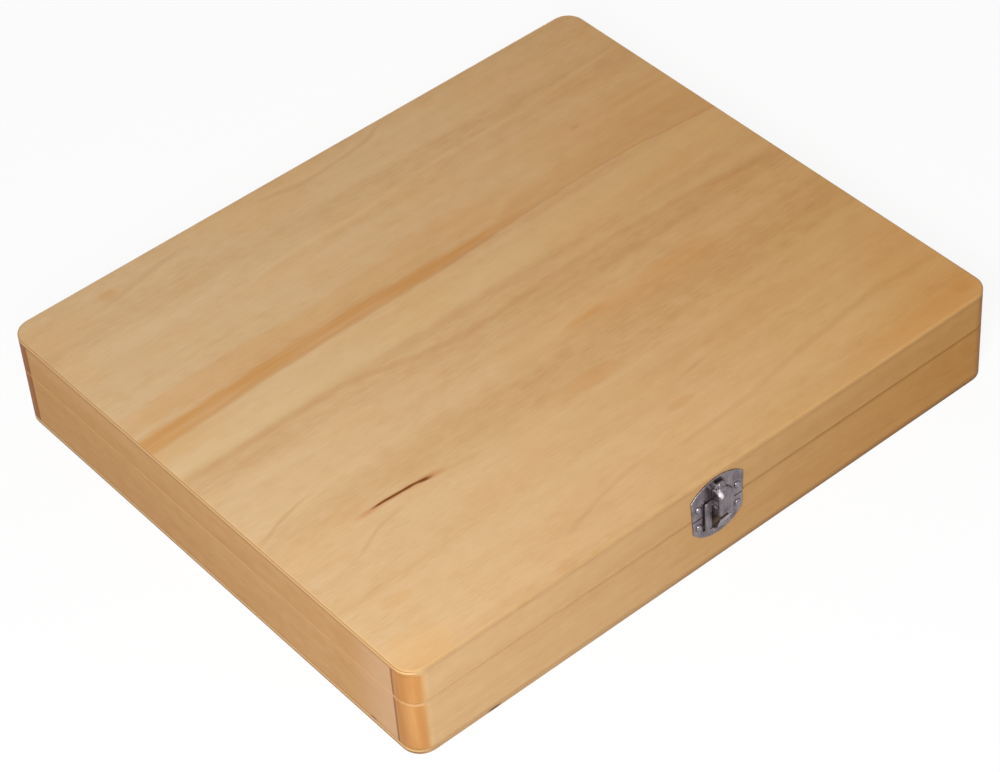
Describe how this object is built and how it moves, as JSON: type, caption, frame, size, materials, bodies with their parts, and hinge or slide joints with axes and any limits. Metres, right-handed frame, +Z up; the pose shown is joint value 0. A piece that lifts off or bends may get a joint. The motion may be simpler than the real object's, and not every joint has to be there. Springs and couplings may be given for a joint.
{
  "type": "art supply box",
  "caption": "Flat hinged wooden case with rounded corners, a partitioned tray inside and a pressed steel hasp catch on the front, for paints, pencils and brushes.",
  "frame": {"origin": "middle of the underside of the bottom panel", "axes": "+X along the front towards the right end, +Y from the catch towards the hinges, +Z up"},
  "size_m": [0.35, 0.3088, 0.0536],
  "materials": {
    "plywood": "clear satin lacquer",
    "rail_wood": "clear satin lacquer",
    "divider_wood": "sanded, unfinished",
    "latch_steel": "nickel plated",
    "hinge_steel": "nickel plated",
    "screw_steel": "nickel plated",
    "nail_steel": "nickel plated"
  },
  "bodies": {
    "base": {"bottom_panel": "plywood", "base_front_rail": "rail_wood", "base_back_rail": "rail_wood", "base_left_side": "rail_wood", "base_right_side": "rail_wood", "long_divider": "divider_wood", "left_cross_divider": "divider_wood", "middle_cross_divider": "divider_wood", "right_cross_divider": "divider_wood", "hinge_left_base_leaf": "hinge_steel", "hinge_right_base_leaf": "hinge_steel", "hinge_left_pin": "hinge_steel", "hinge_right_pin": "hinge_steel", "hinge_base_screws": "screw_steel", "latch_lower_plate": "latch_steel", "latch_lower_nails": "nail_steel"},
    "lid": {"lid_panel": "plywood", "lid_front_rail": "rail_wood", "lid_back_rail": "rail_wood", "lid_left_side": "rail_wood", "lid_right_side": "rail_wood", "hinge_left_lid_leaf": "hinge_steel", "hinge_right_lid_leaf": "hinge_steel", "hinge_lid_screws": "screw_steel", "latch_upper_plate": "latch_steel", "latch_upper_nails": "nail_steel", "latch_pivot_pin": "latch_steel"},
    "hasp": {"latch_hasp": "latch_steel"}
  },
  "joints": [
    {"name": "lid_hinge", "type": "hinge", "parent": "base", "child": "lid", "pos_m": [0, 0.1511, 0.03255], "axis": [-1, 0, 0], "range_deg": [0, 180]},
    {"name": "hasp_pivot", "type": "hinge", "parent": "lid", "child": "hasp", "pos_m": [0, -0.1518, 0.04815], "axis": [-1, 0, 0], "range_deg": [0, 120]}
  ]
}
